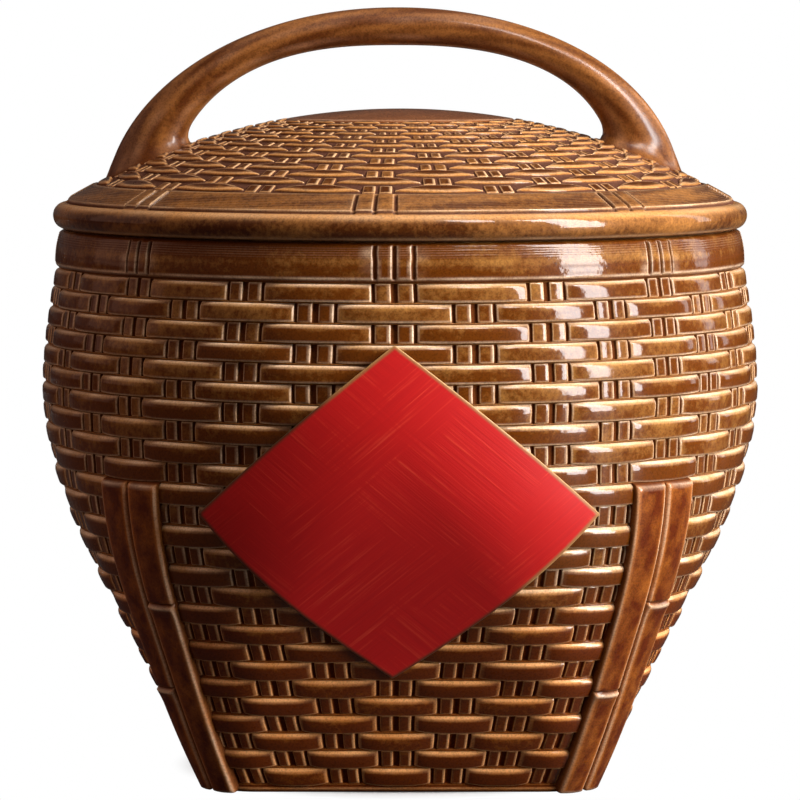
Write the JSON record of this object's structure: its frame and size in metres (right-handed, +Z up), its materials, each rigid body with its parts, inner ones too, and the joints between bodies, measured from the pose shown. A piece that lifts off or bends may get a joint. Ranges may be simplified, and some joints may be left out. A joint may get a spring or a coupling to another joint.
{
  "type": "rice storage jar",
  "caption": "Glazed stoneware rice jar moulded as a woven bamboo basket, square at the base and round at the mouth, with a lift-off domed lid and an arched handle.",
  "frame": {"origin": "middle of the base's underside, on the jar's upright axis", "axes": "+Z up, -Y the front with the red diamond, the handle runs along X"},
  "size_m": [0.3008, 0.3029, 0.3201],
  "materials": {
    "body_glaze": "glossy brown glaze, pale where it breaks over edges",
    "post_glaze": "glossy dark brown glaze",
    "panel_paint": "brushed red overglaze, glossy",
    "lid_glaze": "glossy brown glaze, pale where it breaks over edges",
    "handle_glaze": "glossy brown glaze"
  },
  "bodies": {
    "jar": {"jar_body": "body_glaze", "corner_post_front_left": "post_glaze", "corner_post_front_right": "post_glaze", "corner_post_back_left": "post_glaze", "corner_post_back_right": "post_glaze", "red_panel": "panel_paint"},
    "lid": {"lid": "lid_glaze", "lid_handle": "handle_glaze"}
  },
  "joints": [
    {"name": "lid_lift", "type": "slide", "parent": "jar", "child": "lid", "axis": [0, 0, 1], "range_m": [0, 0.15]}
  ]
}
